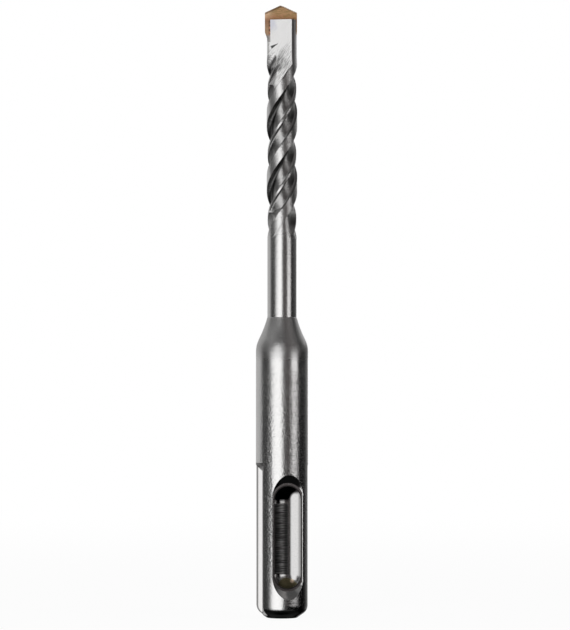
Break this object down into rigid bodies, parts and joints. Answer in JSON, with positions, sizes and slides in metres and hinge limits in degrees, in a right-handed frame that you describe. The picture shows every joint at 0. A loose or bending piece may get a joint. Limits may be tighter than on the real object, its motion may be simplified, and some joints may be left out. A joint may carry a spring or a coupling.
{
  "type": "hammer drill bit",
  "caption": "Hammer drill bit for masonry: grooved 10 mm quick-change shank, tapered neck, right-hand spiral flutes and a brazed carbide plate across the tip.",
  "frame": {"origin": "centre of the flat striking face at the shank's end", "axes": "+Z runs along the bit from the shank's end to the point; the two ball grooves face +Y and -Y and the two drive slots face +X and -X"},
  "size_m": [0.01, 0.01, 0.1171],
  "materials": {
    "steel": "satin",
    "carbide": "satin",
    "braze": "satin"
  },
  "bodies": {
    "root": {"steel_body": "steel", "carbide_tip": "carbide", "braze_seam": "braze"}
  },
  "joints": []
}
